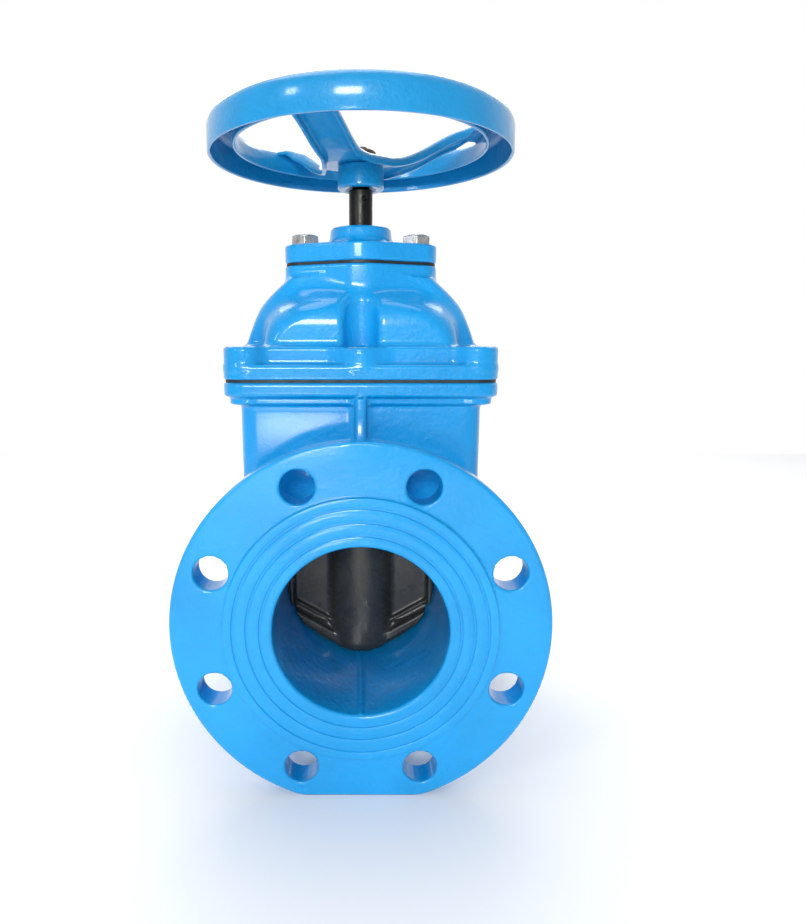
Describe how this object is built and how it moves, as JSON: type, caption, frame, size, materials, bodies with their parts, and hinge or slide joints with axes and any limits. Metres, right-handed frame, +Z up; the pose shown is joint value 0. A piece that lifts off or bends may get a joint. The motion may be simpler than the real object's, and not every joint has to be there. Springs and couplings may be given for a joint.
{
  "type": "gate valve",
  "caption": "Flanged resilient-seated gate valve with a non-rising stem, a sliding rubber-coated wedge and a pressed-steel handwheel.",
  "frame": {"origin": "on the stem's axis, at the height of the flats under the flanges that the valve stands on", "axes": "+X across the pipe, +Y along the flow away from the pictured flange, +Z up the stem"},
  "size_m": [0.21, 0.19, 0.385],
  "materials": {
    "blue_epoxy": "glossy fusion-bonded epoxy over ductile iron, slight orange peel",
    "blue_paint": "glossy blue paint on pressed steel",
    "rubber": "matt black rubber",
    "wedge_rubber": "moulded black rubber with a dull sheen",
    "zinc_steel": "bright zinc plate",
    "sealing_wax": "blue hot-melt wax",
    "brass": "machined brass",
    "nylon": "natural nylon",
    "black_steel": "blackened, lightly oiled steel",
    "brown_steel": "browned steel",
    "raw_iron": "as-cast ductile iron",
    "guide_plastic": "moulded guide plastic"
  },
  "bodies": {
    "valve_body": {"body": "blue_epoxy", "bonnet_gasket": "rubber", "bonnet": "blue_epoxy", "bonnet_screws": "zinc_steel", "screw_seals": "sealing_wax", "gland_gasket": "rubber", "gland": "blue_epoxy", "gland_bolts": "zinc_steel", "stem_bush": "brass", "inner_o_rings": "rubber", "outer_o_rings": "rubber", "dust_wiper": "rubber", "lower_thrust_washer": "nylon", "upper_thrust_washer": "nylon"},
    "stem_and_handwheel": {"stem": "black_steel", "handwheel_hub": "blue_paint", "handwheel_spider": "blue_paint", "handwheel_rim": "blue_paint", "handwheel_washer": "brown_steel", "handwheel_nut": "brown_steel"},
    "wedge": {"wedge_core": "raw_iron", "wedge_rubber": "wedge_rubber", "stem_nut": "brass", "guide_shoes": "guide_plastic"}
  },
  "joints": [
    {"name": "stem_turn", "type": "hinge", "parent": "valve_body", "child": "stem_and_handwheel", "pos_m": [0, 0, 0.3], "axis": [0, 0, 1], "range_deg": [0, 8910]},
    {"name": "wedge_lift", "type": "slide", "parent": "valve_body", "child": "wedge", "axis": [0, 0, 1], "range_m": [0, 0.09901]}
  ],
  "couplings": [
    {"joint": "wedge_lift", "follows": "stem_turn", "m_per_rad": 0.00063662}
  ]
}
